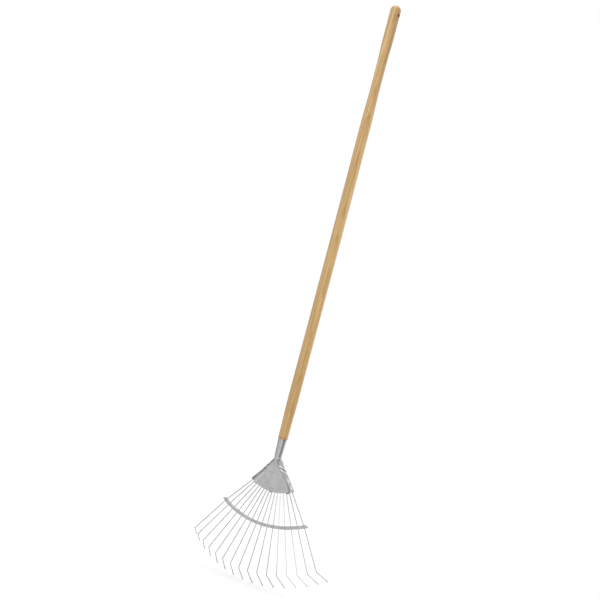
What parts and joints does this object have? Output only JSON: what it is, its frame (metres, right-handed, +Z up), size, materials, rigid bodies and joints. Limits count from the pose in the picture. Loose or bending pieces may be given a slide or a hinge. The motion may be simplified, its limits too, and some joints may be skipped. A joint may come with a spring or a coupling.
{
  "type": "leaf rake",
  "caption": "Long-handled lawn and leaf rake: turned wooden handle, pressed metal socket and fan plate, hooked spring-wire tines and a curved brace.",
  "frame": {"origin": "centre of the hanging hole near the top of the handle, on the handle's axis", "axes": "+Z up along the handle, away from the tines; +X across the fan, along the hanging hole; the convex front of the fan faces -Y and the hooks bend back towards +Y"},
  "size_m": [0.444, 0.0891, 1.6664],
  "materials": {
    "ash_wood": "pale varnished ash with fine long grain",
    "sheet_steel": "satin-polished stainless sheet",
    "wire_steel": "bright drawn spring wire",
    "screw_steel": "satin stainless screw"
  },
  "bodies": {
    "root": {"handle": "ash_wood", "head_pressing": "sheet_steel", "back_clamp_plate": "sheet_steel", "brace_channel": "sheet_steel", "socket_screw": "screw_steel", "tine_01": "wire_steel", "tine_02": "wire_steel", "tine_03": "wire_steel", "tine_04": "wire_steel", "tine_05": "wire_steel", "tine_06": "wire_steel", "tine_07": "wire_steel", "tine_08": "wire_steel", "tine_09": "wire_steel", "tine_10": "wire_steel", "tine_11": "wire_steel", "tine_12": "wire_steel", "tine_13": "wire_steel", "tine_14": "wire_steel", "tine_15": "wire_steel", "tine_16": "wire_steel"}
  },
  "joints": []
}
